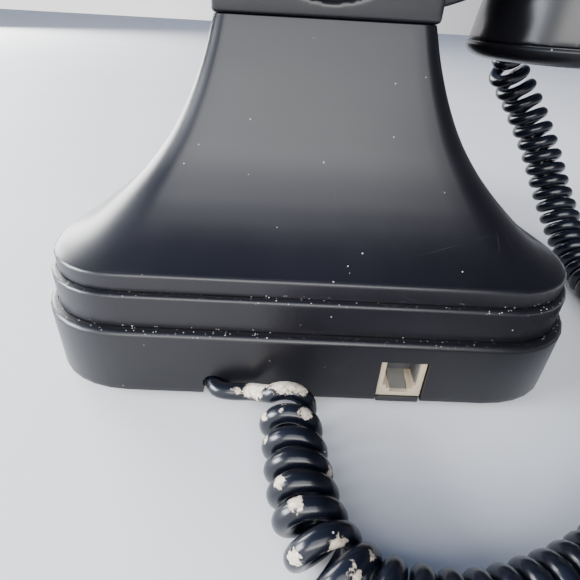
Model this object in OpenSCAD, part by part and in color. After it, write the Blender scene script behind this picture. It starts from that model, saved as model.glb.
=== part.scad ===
// Desk telephone in the style of the 1930s: a stepped base that flares up into a neck, a
// cradle on the neck, a handset with a curly cord, and push buttons laid out like a dial.
// Millimetres. +Z is up, the dial faces -Y, the line socket faces +Y, and the origin is on
// the table below the middle of the base. The mouthpiece is on the -X side.

/* [Base] */
// Width of the bottom step, if it did not narrow towards the front
base_w = 173.6; // [168:0.2:180]
// Depth of the bottom step
base_d = 180; // [176:1:186]
// Radius of the bottom step's back corners
corner_r = 34.8; // [32:0.2:37]
// Height of the rubber feet
foot_h = 1.6; // [1.2:0.1:2.4]
// Thickness of the moulded walls
wall = 3; // [2.4:0.2:3.4]

/* [Neck] */
// Width of the neck where the cradle sits
neck_w = 60.2; // [58:0.2:62]
// Height of the neck's top above the lower edge of the housing
neck_h = 94.3; // [92:0.1:96]

/* [Dial] */
// Radius of the round boss that carries the dial
pod_r = 44; // [43:0.5:46]
// Radius of the circle on which the keys stand
key_ring_r = 27.5; // [27:0.1:28]
// Radius of a key
key_r = 5.4; // [5:0.1:5.6]
// Distance that a key goes in
key_travel = 1.5; // [1:0.1:1.5]

/* [Handset] */
// Distance from the middle of the handset to the middle of either cup
cup_x = 82; // [80:0.5:84]
// Height of the middle of the handle
handle_z = 128.2; // [128:0.1:129]
// Radius of the handle at its middle
handle_r = 11.2; // [10.6:0.1:11.4]

/* [Cord] */
// Diameter of the cord's wire
wire_d = 4.9; // [4.8:0.1:5.2]
// Outer diameter of its curls
curl_d = 16; // [15.6:0.1:16]

/* [Hidden] */
$fn = 64;

// Colours
black = [0.07, 0.07, 0.08];
ivory = [0.78, 0.75, 0.66];
chrome = [0.8, 0.8, 0.82];
steel = [0.6, 0.6, 0.62];
rubber = [0.12, 0.12, 0.12];
green = [0.1, 0.35, 0.2];
paper = [0.9, 0.88, 0.8];
navy = [0.06, 0.07, 0.11];

// Base
plate_t = 2;
plate_top = foot_h + plate_t;
edge_z = plate_top - 1.1;          // lower edge of the housing
step2_z = edge_z + 21.2;           // top of the bottom step
step1_z = edge_z + 31.3;           // top of the middle step
flare_z = edge_z + 36.5;           // top of the upper step
step2_in = 2.9;                    // how far the middle step stands in
step1_in = 4.9;                    // how far the upper step stands in
neck_z = edge_z + neck_h;
back_y = base_d / 2;
taper = 0.22;                      // share of its width that the base loses towards the front
taper_run = 60;
boss_back_x = 64;
boss_front_x = 50;
boss_y = 66;
foot_back_x = 46;
foot_front_x = 33;
foot_y = 70;
foot_r = 8;
screw_r = 1.25;
screw_clear = 0.06;

// Housing above the steps: height over the lower edge, half width at the back, how far the
// back stands in, corner radius, and the share of the width lost towards the front
FLARE = [
    [35.5, base_w / 2 - 5.4, 5.4, 29, taper],
    [36.5, base_w / 2 - 5.4, 5.4, 29, taper],
    [37.3, 79.5, 7.4, 27.5, 0.2],
    [38.4, 75.5, 9.6, 25.5, 0.16],
    [40.2, 70.5, 12.6, 22.5, 0.12],
    [42.8, 65.5, 16, 19, 0.08],
    [46.5, 60.2, 19.8, 15.5, 0.05],
    [51.5, 54.2, 24, 12, 0.03],
    [58, 47.8, 28.3, 9.5, 0.02],
    [66, 41.6, 32, 7.5, 0.01],
    [75, 36.6, 35.6, 6, 0],
    [85, 32.6, 39.2, 5, 0],
    [neck_h, neck_w / 2, 42.3, 4.5, 0]];
neck_back_y = back_y - 42.3;
neck_front_y = -16;
// The front slopes from the steps to the neck, and the dial lies on that slope
slope_y0 = -back_y + step1_in;
slope_run = neck_front_y - slope_y0;
slope_rise = neck_z - flare_z;
slope_len = norm([slope_run, slope_rise]);
dial_tilt = asin(slope_rise / slope_len);
dial_at = [0, (slope_y0 + neck_front_y) / 2, (flare_z + neck_z) / 2];

// Dial, measured outward from the slope
pod_top = 7;
pod_bore = pod_r - 4.5;
ledge_top = 4;
ledge_bottom = 2;
ledge_r = pod_bore - 3;
plate_up = 6.5;
key_count = 12;
flange_t = 1.2;
stem_end = 2.3;
mat_top = stem_end - key_travel - 0.1;
mat_bottom = mat_top - 1.4;
board_bottom = mat_bottom - 1.6;
post_ring_r = 17;

// Line socket
jack_w = 13.2;
jack_h = 13.4;
jack_l = 16;
jack_x = -27;
jack_front = back_y - 0.5;
port_w = 9.9;
port_h = 6.9;
port_l = 12;
port_z = plate_top + 4.4;
latch_w = 5.4;

// Cradle
saddle_y = 12;
saddle_z = 128;
saddle_r = 14;
arm_back_y = 34;
arm_front_y = -9.5;
recess_r = 26;                     // round hollow in the cradle's back for two fingers
recess_x = -1;
recess_deep = 5;
plunger_x = 22;
plunger_y = saddle_y;
plunger_r = 2.5;
plunger_top = saddle_z - 11.8;
cradle_screw_x = 14;
cradle_screw_y = 16;

// Hook switch inside the neck
lever_z = neck_z - 12;
pivot_y = 36;
shelf_y = 39.6;
pin_r = 1.5;

// Handset
ear_x = cup_x + 2.8;               // the earpiece is slimmer, and both ends reach as far out
handset_y = saddle_y;
mouth_rim_z = 92.6;
mouth_z = 87.8;
ear_rim_z = 107;
ear_z = 101;

// Cord
slot_x = 27;
slot_z = 6.4;
boot_from = [-80, -15, 100.4];
boot_to = [-80, -26, 92];
boot_way = boot_to - boot_from;
boot_turn = 180 - atan2(-boot_way[1], -boot_way[2]);
// The wire from the slot along the back to the first curl
LEAD = [[27.4, 84, 6.4], [27.2, 88, 6.4], [25.6, 92, 6.8], [21.6, 93.6, 7.4],
    [15.6, 94.2, 8.1], [11, 96, 8.1]];
// The middle of the curls: out over the table, round the mouthpiece's side and up
CURLS = [[6, 97.6, 8.1], [4.4, 108, 8.1], [3.2, 117, 8.1], [1.6, 126, 8.1], [-1.4, 135, 8.1],
    [-8, 142.6, 8.1], [-18, 146.2, 8.1], [-30, 147, 8.1], [-43, 144, 8.1], [-58, 138, 8.1],
    [-74, 128, 8.1], [-90, 114, 8.1], [-104, 96, 8.1], [-113, 77, 8.1], [-118.6, 57, 8.1],
    [-121.4, 38, 8.1], [-122, 20, 9], [-121, 6, 14], [-118.4, -6, 23], [-114, -16, 35],
    [-108.4, -23, 48], [-101.6, -28, 60], [-94, -31, 71], [-86.4, -31.6, 80],
    [-81, -30.4, 88]];
TAIL = [[-80, -26.4, 91.7], [-80.2, -28.4, 89.8], [-81, -30.4, 88]];

// ---- helpers -------------------------------------------------------------------------

function unit(v) = v / norm(v);

// Share of its width that an outline keeps at y, where its back is at back
function kept(y, back, lost) = 1 - lost * (1 - exp((y - back) / taper_run));

// Half width of the bottom step at y
function side_x(y) = base_w / 2 * kept(y, back_y, taper);

// One quarter turn of points about [x, y], starting at angle a
function corner(x, y, r, a, n) = [for (i = [0:n]) [x + r * cos(a + 90 * i / n), y + r * sin(a + 90 * i / n)]];

// Rounded rectangle that narrows towards the front
module plan(w, d, r) {
    a = w / 2 - r;
    b = d / 2 - r;
    flat = concat(corner(a, b, r, 0, 8), corner(-a, b, r, 90, 8),
        [for (t = [1:5]) [-w / 2, b * (1 - t / 3)]],
        corner(-a, -b, r, 180, 8), corner(a, -b, r, 270, 8),
        [for (t = [1:5]) [w / 2, b * (t / 3 - 1)]]);
    polygon([for (p = flat) [p[0] * kept(p[1], d / 2, taper), p[1]]]);
}

// A ring of points at one height of the flared housing, thinned by t on the inside
function ring(level, t) =
    let (z = edge_z + level[0], w = level[1] - t, r = max(level[3] - t, 1),
        back = back_y - level[2] - t,
        front = slope_y0 + 0.5 + slope_run * max((z - flare_z) / slope_rise, 0) + t,
        mid = (back + front) / 2,
        flat = concat(corner(w - r, back - r, r, 0, 5), corner(-w + r, back - r, r, 90, 5),
            [[-w, mid + 15], [-w, mid - 15]],
            corner(-w + r, front + r, r, 180, 5), corner(w - r, front + r, r, 270, 5),
            [[w, mid - 15], [w, mid + 15]]))
    [for (p = flat) [p[0] * kept(p[1], back, level[4]), p[1], z]];

// Skins a list of rings of equal length. A looped skin joins its last ring to its first.
module skin(rings, looped = false) {
    n = len(rings[0]);
    m = len(rings);
    spans = looped ? m : m - 1;
    walls = [for (k = [0:spans - 1], i = [0:n - 1])
        let (a = k * n + i, b = k * n + (i + 1) % n, c = ((k + 1) % m) * n + (i + 1) % n,
            d = ((k + 1) % m) * n + i)
        each [[a, d, c], [a, c, b]]];
    caps = looped ? [] : [[for (i = [0:n - 1]) i], [for (i = [n - 1:-1:0]) (m - 1) * n + i]];
    polyhedron([for (r = rings) each r], concat(walls, caps), convexity = 6);
}

// Directions along a route, averaged at its inner points
function headings(p) = [for (i = [0:len(p) - 1])
    unit(p[min(i + 1, len(p) - 1)] - p[max(i - 1, 0)])];

// Carries a sideways vector along a route without twist
function carried(t, v, i = 0) = i == len(t) ? [] :
    let (s = unit(v - (v * t[i]) * t[i])) concat([s], carried(t, s, i + 1));

// Rings of n points and radius r[i] about each point of a route
function tube_rings(p, r, n, side) =
    let (t = headings(p), s = carried(t, side))
    [for (i = [0:len(p) - 1]) let (u = cross(t[i], s[i]))
        [for (k = [0:n - 1]) p[i] + r[i] * (cos(360 * k / n) * s[i] + sin(360 * k / n) * u)]];

module tube(p, r, n, side) {
    skin(tube_rings(p, [for (i = p) r], n, side));
}

// Moves what stands on +Z onto the sloping dial
module on_dial() {
    translate(dial_at) rotate([dial_tilt, 0, 0]) children();
}

// Moves what stands on +Z onto the line on which the cord enters the mouthpiece
module on_boot() {
    translate(boot_from) rotate([boot_turn, 0, 0]) children();
}

module disc(r, z0, z1) {
    translate([0, 0, z0]) cylinder(r = r, h = z1 - z0);
}

// Pan-head screw whose head's underside is at the origin and whose shank goes up
module screw(length, head_r = 2.4, head_t = 1.4) {
    cylinder(r = screw_r, h = length);
    difference() {
        translate([0, 0, -head_t]) cylinder(r = head_r, h = head_t);
        for (a = [0, 90]) rotate(a) translate([0, 0, -head_t]) cube([3, 0.7, 1.2], center = true);
    }
}

module at_bosses() {
    for (x = [-1, 1]) {
        translate([x * boss_back_x, boss_y, 0]) children();
        translate([x * boss_front_x, -boss_y, 0]) rotate(180) children();
    }
}

module at_plungers() {
    for (x = [-plunger_x, plunger_x]) translate([x, plunger_y, 0]) children();
}

module at_cradle_screws() {
    for (x = [-cradle_screw_x, cradle_screw_x], y = [-cradle_screw_y, cradle_screw_y])
        translate([x, saddle_y + y, 0]) children();
}

module at_board_posts() {
    for (x = [-36, 36], y = [-42, 22]) translate([x, y, 0]) children();
}

module at_dial_posts() {
    for (a = [30, 150, 270]) rotate(a) translate([post_ring_r, 0, 0]) children();
}

// ---- housing and base ----------------------------------------------------------------

module housing_walls() {
    translate([0, 0, edge_z]) linear_extrude(step2_z - edge_z) plan(base_w, base_d, corner_r);
    translate([0, 0, step2_z - 1]) linear_extrude(step1_z - step2_z + 1)
        plan(base_w - 2 * step2_in, base_d - 2 * step2_in, corner_r - step2_in);
    translate([0, 0, step1_z - 1]) linear_extrude(flare_z - step1_z + 1)
        plan(base_w - 2 * step1_in, base_d - 2 * step1_in, corner_r - step1_in);
}

module housing_hollow() {
    low = wall;
    high = step1_in + wall;
    translate([0, 0, edge_z - 1]) linear_extrude(step2_z - edge_z - wall + 1)
        plan(base_w - 2 * low, base_d - 2 * low, corner_r - low);
    translate([0, 0, edge_z]) linear_extrude(flare_z - edge_z + 1)
        plan(base_w - 2 * high, base_d - 2 * high, corner_r - high);
}

module side_slots() {
    for (y = [-18, 18]) translate([side_x(y), y, 14]) cube([12, 10.4, 4.4], center = true);
}

module housing() {
    outer = [for (l = FLARE) ring(l, 0)];
    inner = [for (i = [len(FLARE) - 1:-1:0]) ring(FLARE[i], wall)];
    color(black) {
        difference() {
            union() {
                difference() {
                    housing_walls();
                    housing_hollow();
                }
                skin(concat(outer, inner), looped = true);
                translate([0, (neck_back_y + neck_front_y) / 2, neck_z - wall / 2])
                    cube([neck_w - wall, neck_back_y - neck_front_y - wall, wall], center = true);
                on_dial() disc(pod_r, -12, pod_top);
                at_bosses() {
                    disc(4, plate_top, flare_z);
                    translate([0, 11, plate_top + 8]) cube([2, 19, 16], center = true);
                }
            }
            on_dial() {
                disc(pod_bore, ledge_top, pod_top + 1);
                disc(ledge_r, -30, ledge_top + 1);
                disc(pod_bore, -30, ledge_bottom);
            }
            at_bosses() disc(screw_r + screw_clear, plate_top - 1, plate_top + 12);
            at_plungers() disc(plunger_r + 1, neck_z - 6, neck_z + 1);
            at_cradle_screws() disc(screw_r + screw_clear, neck_z - 6, neck_z + 1);
            translate([jack_x - jack_w / 2 - 0.2, back_y - 4, edge_z - 1])
                cube([jack_w + 0.4, 8, plate_top + jack_h - edge_z + 1.2]);
            translate([slot_x - 3.2, back_y - 13, edge_z - 1]) cube([6.4, 14, slot_z - edge_z + 1]);
            translate([slot_x, back_y + 1, slot_z]) rotate([90, 0, 0]) cylinder(r = 3.2, h = 14);
            side_slots();
        }
    }
}

module base_plate() {
    in = wall + 0.3;
    color(black) difference() {
        union() {
            translate([0, 0, foot_h]) linear_extrude(plate_t)
                plan(base_w - 2 * in, base_d - 2 * in, corner_r - in);
            translate([jack_x - 6.3, back_y - in - 4, foot_h]) cube([12.6, in + 3.6, plate_t]);
            at_board_posts() disc(3, plate_top - 1, plate_top + 6);
        }
        at_bosses() {
            disc(screw_r + screw_clear, 0, plate_top + 1);
            disc(2.7, 0, foot_h + 1.2);
        }
        at_board_posts() disc(screw_r + screw_clear, 0, plate_top + 7);
    }
}

module rubber_feet() {
    color(rubber) for (x = [-1, 1]) {
        translate([x * foot_back_x, foot_y, 0]) disc(foot_r, 0, foot_h);
        translate([x * foot_front_x, -foot_y, 0]) disc(foot_r, 0, foot_h);
    }
}

module housing_screws() {
    color(steel) at_bosses() translate([0, 0, foot_h + 1.2]) screw(11);
}

// ---- cradle --------------------------------------------------------------------------

// Half of the cradle seen from the front: collar, arm and upright prong
ARM = [[0, 0], [30.1, 0], [30.1, 2.4], [30.9, 3.2], [32.6, 3.9], [35.4, 4.6], [41.4, 6.7],
    [46.6, 9.2], [49.2, 12.2], [50.2, 16.6], [50.2, 29], [49.2, 31.8], [47, 33.2],
    [44.6, 32.2], [42.4, 27.6], [39.4, 22], [34.6, 18.6], [28, 17.6], [0, 17.6]];
// Collar seen from the side
COLLAR = [[neck_front_y, 0], [neck_back_y, 0], [neck_back_y, 8.6], [45.6, 12.6],
    [41, 15.8], [35, 17.6], [-8, 17.6], [-13, 15.6], [neck_front_y, 11]];

module cradle() {
    color(black) difference() {
        union() {
            for (side = [0, 1]) mirror([side, 0, 0]) translate([0, arm_back_y, neck_z])
                rotate([90, 0, 0]) linear_extrude(arm_back_y - arm_front_y) polygon(ARM);
            translate([-neck_w / 2, 0, neck_z]) rotate([90, 0, 90])
                linear_extrude(neck_w) polygon(COLLAR);
        }
        translate([-60, saddle_y, saddle_z]) rotate([0, 90, 0]) cylinder(r = saddle_r, h = 120);
        translate([recess_x, neck_back_y + 1, saddle_z - 1.6]) rotate([90, 0, 0])
            cylinder(r = recess_r, h = recess_deep + 1);
        difference() {
            translate([-27, neck_front_y + 3.5, neck_z - 1]) cube([54, 52, 14.2]);
            at_plungers() disc(plunger_r + 2, neck_z - 2, neck_z + 20);
            at_cradle_screws() disc(screw_r + 2.4, neck_z - 2, neck_z + 20);
        }
        at_plungers() disc(plunger_r + 0.08, neck_z - 1, neck_z + 30);
        at_cradle_screws() disc(screw_r + screw_clear, neck_z - 1, neck_z + 8);
    }
}

module cradle_screws() {
    color(steel) at_cradle_screws() translate([0, 0, neck_z - wall]) screw(wall + 7);
}

// ---- line socket ---------------------------------------------------------------------

module line_jack() {
    color(ivory) translate([jack_x, 0, 0]) difference() {
        translate([-jack_w / 2, jack_front - jack_l, plate_top]) cube([jack_w, jack_l, jack_h]);
        translate([-port_w / 2, jack_front - port_l, port_z]) cube([port_w, port_l + 1, port_h]);
        translate([-latch_w / 2, jack_front - port_l, port_z - 2.4]) cube([latch_w, port_l + 1, 3]);
    }
}

module jack_contacts() {
    color("gold") for (i = [-1.5:1:1.5])
        translate([jack_x + i * 1.3 - 0.25, jack_front - port_l, port_z + port_h - 1])
            rotate([-6, 0, 0]) cube([0.5, 7, 0.5]);
}

// ---- dial ----------------------------------------------------------------------------

module at_key(i) {
    rotate(60 - 30 * i) translate([key_ring_r, 0, 0]) children();
}

module dial_bezel() {
    color(chrome) on_dial() rotate_extrude() polygon([[pod_bore - 1.5, plate_up],
        [pod_bore - 0.3, plate_up], [pod_bore - 0.3, pod_top + 0.1], [pod_r + 0.2, pod_top + 0.1],
        [pod_r + 0.2, 2.6], [pod_r + 1.6, 2.6], [pod_r + 2, 3.2], [pod_r + 2, 6.4],
        [pod_r + 1, 8.4], [pod_r - 1, 9.4], [pod_r - 3, 9], [pod_bore - 1.5, 7.4]]);
}

module dial_plate() {
    color(black) on_dial() difference() {
        union() {
            disc(pod_bore - 0.3, ledge_top, plate_up);
            at_dial_posts() disc(2.2, mat_bottom, plate_up - 1);
        }
        for (i = [0:key_count - 1]) at_key(i) disc(key_r + 0.4, 0, 8);
        at_dial_posts() disc(screw_r + screw_clear, board_bottom, plate_up - 2);
    }
}

module dial_screws() {
    color(steel) on_dial() at_dial_posts() translate([0, 0, board_bottom]) screw(6.6);
}

module keypad_mat() {
    color([0.35, 0.36, 0.38]) on_dial() difference() {
        disc(ledge_r - 0.6, mat_bottom, mat_top);
        at_dial_posts() disc(2.6, mat_bottom - 1, mat_top + 1);
    }
}

module keypad_board() {
    color(green) on_dial() difference() {
        disc(ledge_r - 0.6, board_bottom, mat_bottom);
        at_dial_posts() disc(screw_r + 0.2, board_bottom - 1, mat_bottom + 1);
    }
}

module dial_card() {
    color(paper) on_dial() disc(13.6, plate_up, plate_up + 0.3);
}

module card_lens() {
    color([0.85, 0.9, 0.95, 0.4]) on_dial() rotate_extrude() polygon([[0, plate_up + 0.4],
        [13.6, plate_up + 0.4], [13.6, plate_up + 1], [9, plate_up + 1.6], [0, plate_up + 2]]);
}

module card_ring() {
    color(chrome) on_dial() rotate_extrude() polygon([[13.8, plate_up], [17, plate_up],
        [17, plate_up + 0.8], [15.8, plate_up + 2], [14.6, plate_up + 2.2], [13.8, plate_up + 1.4]]);
}

// One key: a capped pin through its hole, with a flange behind the plate and a stem
module key(i) {
    color(ivory) on_dial() at_key(i) rotate_extrude() polygon([[0, stem_end], [2, stem_end],
        [2, ledge_top - flange_t - 0.1], [key_r + 0.9, ledge_top - flange_t - 0.1],
        [key_r + 0.9, ledge_top - 0.1], [key_r, ledge_top - 0.1], [key_r, plate_up + 1.6],
        [key_r - 0.7, plate_up + 2.4], [3, plate_up + 2.1], [0, plate_up + 1.9]]);
}

// ---- electronics and weights ---------------------------------------------------------

module main_board() {
    color(green) union() {
        difference() {
            translate([-42, -48, plate_top + 6]) cube([84, 76, 1.6]);
            at_board_posts() disc(screw_r + 0.2, plate_top, plate_top + 12);
        }
        for (p = [[-24, -30, 14, 5], [4, -34, 10, 12], [20, 0, 9, 9], [-30, 2, 18, 4]])
            translate([p[0], p[1], plate_top + 7.4]) cube([p[2], 10, p[3]]);
    }
}

module board_screws() {
    color(steel) at_board_posts() translate([0, 0, plate_top + 7.6]) mirror([0, 0, 1]) screw(6);
}

module ringer_speaker() {
    color([0.2, 0.2, 0.22]) translate([0, 56, plate_top]) {
        rotate_extrude() polygon([[0, 0], [9, 0], [9, 7], [18, 11], [20, 11], [20, 13], [0, 13]]);
    }
}

module front_ballast() {
    color(steel) translate([-40, -76, plate_top]) cube([80, 20, 4.5]);
}

module rear_ballast() {
    color(steel) for (x = [-1, 1]) translate([x * 53 - 10, -16, plate_top]) cube([20, 60, 4.5]);
}

// ---- hook switch ---------------------------------------------------------------------

module hook_bracket() {
    color(steel) difference() {
        union() {
            translate([-16, shelf_y, lever_z - 13]) cube([32, 2, neck_z - wall - lever_z + 13]);
            for (x = [-16, 14]) translate([x, pivot_y - 4, lever_z - 5]) cube([2, 8, 10]);
            translate([-10, saddle_y, lever_z - 13]) cube([20, shelf_y - saddle_y + 1, 2]);
        }
        translate([-30, pivot_y, lever_z]) rotate([0, 90, 0]) cylinder(r = pin_r, h = 60);
    }
}

module hook_pin() {
    color(steel) translate([-17.5, pivot_y, lever_z]) rotate([0, 90, 0]) cylinder(r = pin_r, h = 35);
}

// Yoke that both plungers stand on: a sleeve on the pin, an arm and a crossbar
module hook_lever() {
    color([0.5, 0.5, 0.52]) difference() {
        union() {
            translate([-9, pivot_y, lever_z]) rotate([0, 90, 0]) cylinder(r = 3, h = 18);
            translate([-4, saddle_y - 4, lever_z - 1]) cube([8, pivot_y - saddle_y + 4, 2]);
            translate([-25, saddle_y - 4, lever_z - 1]) cube([50, 8, 2]);
        }
        translate([-30, pivot_y, lever_z]) rotate([0, 90, 0]) cylinder(r = pin_r + 0.05, h = 60);
    }
}

// Torsion spring on the pin, beside the sleeve, with one straight leg
module hook_spring() {
    turns = 3;
    steps = 12;
    coil = [for (i = [0:turns * steps]) [-13.2 + 1.15 * i / steps,
        pivot_y + 2.4 * cos(360 * i / steps), lever_z + 2.4 * sin(360 * i / steps)]];
    color(steel) tube(coil, 0.35, 6, [1, 0, 0]);
}

module hook_switch() {
    color([0.25, 0.25, 0.28]) union() {
        translate([-9, saddle_y, lever_z - 11]) cube([18, 20, 8.4]);
        translate([-2, saddle_y + 8, lever_z - 3]) cube([4, 3, 1.9]);
    }
}

module plunger(x) {
    color(black) translate([x, plunger_y, 0]) {
        disc(plunger_r, lever_z + 1.2, plunger_top);
        disc(plunger_r + 1.6, neck_z - wall - 7.2, neck_z - wall - 6.2);
    }
}

// ---- side switches -------------------------------------------------------------------

module slide_switch(y) {
    color([0.16, 0.16, 0.18]) translate([side_x(y) - wall - 7.3, y, 14]) difference() {
        cube([12, 16, 8], center = true);
        translate([4, 0, 0]) cube([6.1, 9.2, 3.6], center = true);
    }
}

module slider(y) {
    color([0.55, 0.55, 0.57]) translate([side_x(y) - 4.2, y - 2.2, 14])
        union() {
            cube([8, 4.4, 3], center = true);
            for (k = [-1, 0, 1]) translate([4, k * 1.3, 0]) cube([0.8, 0.6, 3], center = true);
        }
}

// ---- cord ----------------------------------------------------------------------------

module cord_bush() {
    color(rubber) translate([slot_x, 0, slot_z]) rotate([90, 0, 0]) difference() {
        translate([0, 0, -back_y + 3.2]) cylinder(r = 4.4, h = 3);
        translate([-8, -2.7 - 8, -back_y]) cube([16, 8, 12]);
        translate([0, 0, -back_y - 1]) cylinder(r = 3, h = 12);
    }
}

module cord_clamp() {
    color(black) translate([30, 70, plate_top]) difference() {
        translate([-9, -4, 0]) cube([18, 8, 7]);
        translate([0, 5, 3.2]) rotate([90, 0, 0]) cylinder(r = wire_d / 2 + 0.1, h = 10);
    }
}

module cord_lead() {
    color(navy) tube(LEAD, wire_d / 2, 8, [0, 0, 1]);
}

module cord_coil() {
    color(navy) tube(CURLS, curl_d / 2, 12, [0, 0, 1]);
}

module cord_tail() {
    color(navy) tube(TAIL, wire_d / 2, 8, [1, 0, 0]);
}

// ---- handset -------------------------------------------------------------------------

// Height and radius of the handle's middle line at x
function handle_mid(x) = handle_z - 0.0004 * x * x;
function handle_rad(x) = handle_r + 0.0006 * x * x;
straight_x = [for (i = [-6:6]) i * 10];
// Where either end turns down into its cup: x, z, radius
BEND = [[68, 125.2, 14.8], [75, 121.8, 16.4], [80, 117, 17.6], [82.4, 112, 18]];
handle_line = concat([for (i = [3:-1:0]) [-BEND[i][0], handset_y, BEND[i][1]]],
    [for (x = straight_x) [x, handset_y, handle_mid(x)]],
    [for (b = BEND) [b[0], handset_y, b[1]]]);
handle_radii = concat([for (i = [3:-1:0]) BEND[i][2]], [for (x = straight_x) handle_rad(x)],
    [for (b = BEND) b[2]]);

module handset_shell() {
    skin_t = 2.5;
    outer = tube_rings(handle_line, handle_radii, 20, [0, 1, 0]);
    inner = tube_rings(handle_line, [for (r = handle_radii) r - skin_t], 20, [0, 1, 0]);
    last = len(inner) - 1;
    color(black) difference() {
        union() {
            skin(concat(outer, [for (i = [last:-1:0]) inner[i]]), looped = true);
            translate([-cup_x, handset_y, 0]) rotate_extrude() polygon([[0, 121], [16, 121],
                [22.5, 117.6], [26.4, 112], [28.2, 105], [30, mouth_rim_z],
                [27.4, mouth_rim_z], [25.6, 105], [24, 111], [20.6, 115.4], [15, 118.4],
                [0, 118.4]]);
            translate([ear_x, handset_y, 0]) rotate_extrude() polygon([[0, 121], [16, 121],
                [22.5, 118], [26, 113.4], [27, ear_rim_z], [24.4, ear_rim_z], [23.4, 112],
                [20.6, 115.6], [15, 118.4], [0, 118.4]]);
            on_boot() disc(5.6, -2, 3);
        }
        on_boot() disc(3.4, -9, 11);
        on_boot() boot_cone(0.1);
        translate([ear_x, handset_y, 0]) {
            disc(22.4, ear_rim_z - 5, ear_z + 10.4);
            disc(12.2, ear_rim_z, ear_z + 12.4);
        }
        translate([-cup_x, handset_y, 0]) disc(26.7, mouth_rim_z - 1, mouth_rim_z + 4.1);
        for (x = [-46, 46]) translate([x, handset_y, handle_mid(x) - 16]) {
            cylinder(r = screw_r + screw_clear, h = 14);
            cylinder(r = 2.7, h = 5.2);
        }
    }
}

module ear_cap() {
    color(black) translate([ear_x, handset_y, 0]) difference() {
        rotate_extrude() polygon([[0, ear_z + 1.8], [14, ear_z + 1.4], [22, ear_z], [25.6, ear_z],
            [27.8, ear_z + 2], [28, ear_rim_z - 0.4], [27.6, ear_rim_z], [23.6, ear_rim_z],
            [23.6, ear_rim_z + 3], [22, ear_rim_z + 3], [22, ear_z + 3.6], [0, ear_z + 3.8]]);
        for (a = [0:60:300]) rotate(a) translate([6, 0, 0]) disc(1.1, ear_z - 1, ear_z + 6);
    }
}

module receiver() {
    color([0.2, 0.2, 0.22]) translate([ear_x, handset_y, 0]) rotate_extrude()
        polygon([[0, ear_z + 4.2], [21.6, ear_z + 4.2], [21.6, ear_z + 8], [11.5, ear_z + 10],
            [11.5, ear_z + 12], [0, ear_z + 12]]);
}

module mouth_cap() {
    color(black) translate([-cup_x, handset_y, 0]) difference() {
        rotate_extrude() polygon([[0, mouth_z + 2], [18, mouth_z + 1.6], [22, mouth_z],
            [25.6, mouth_z], [28.4, mouth_z + 0.9], [30.2, mouth_z + 2.6], [30.8, mouth_z + 4],
            [30.6, mouth_rim_z], [26.6, mouth_rim_z], [26.6, mouth_rim_z + 4],
            [24.6, mouth_rim_z + 4], [24.6, mouth_z + 3.8], [0, mouth_z + 4]]);
        for (a = [0:60:300]) rotate(a) translate([7, 0, 0]) disc(1.2, mouth_z - 1, mouth_z + 6);
    }
}

module microphone() {
    color([0.2, 0.2, 0.22]) translate([-cup_x, handset_y, 0]) rotate_extrude()
        polygon([[0, mouth_z + 4.4], [20, mouth_z + 4.4], [20, mouth_z + 9], [10, mouth_z + 11],
            [10, mouth_z + 15], [0, mouth_z + 15]]);
}

module handset_weight() {
    color(steel) translate([-30, handset_y, handle_z]) rotate([0, 90, 0]) cylinder(r = 5.5, h = 60);
}

// The part of the boot that shows, and the seat for it in the cup with some room around it
module boot_cone(room) {
    translate([0, 0, 3 - room]) cylinder(r1 = 4.4 + room, r2 = 3.4 + room, h = norm(boot_way) - 3 + room);
}

// Tapered rubber boot where the cord enters the mouthpiece's cup
module handset_boot() {
    color(rubber) on_boot() {
        disc(3.3, -4, 4);
        boot_cone(0);
    }
}

module handset_screws() {
    color(steel) for (x = [-46, 46]) translate([x, handset_y, handle_mid(x) - 10.8]) screw(6);
}

// ---- drawing -------------------------------------------------------------------------

housing();
base_plate();
rubber_feet();
housing_screws();
cradle();
cradle_screws();
line_jack();
jack_contacts();
dial_bezel();
dial_plate();
dial_screws();
keypad_mat();
keypad_board();
dial_card();
card_lens();
card_ring();
key(0);  // key_1
key(1);  // key_2
key(2);  // key_3
key(3);  // key_4
key(4);  // key_5
key(5);  // key_6
key(6);  // key_7
key(7);  // key_8
key(8);  // key_9
key(9);  // key_star
key(10);  // key_0
key(11);  // key_hash
main_board();
board_screws();
ringer_speaker();
front_ballast();
rear_ballast();
hook_bracket();
hook_pin();
hook_lever();
hook_spring();
hook_switch();
plunger(plunger_x);  // plunger_left
plunger(-plunger_x);  // plunger_right
slide_switch(-18);  // tone_switch
slider(-18);  // tone_slider
slide_switch(18);  // ringer_switch
slider(18);  // ringer_slider
cord_bush();
cord_clamp();
cord_lead();
cord_coil();
cord_tail();
handset_shell();
ear_cap();
receiver();
mouth_cap();
microphone();
handset_weight();
handset_boot();
handset_screws();
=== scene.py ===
"""Desk telephone in the style of the 1930s, seen from behind.

Lengths are in millimetres up to to_object(), which turns them into Blender's metres.
X points to the phone's left as it faces the user, Y to its back and Z up.
"""

import math

import bmesh
import bpy
import numpy as np
from mathutils import Matrix, Vector


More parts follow.
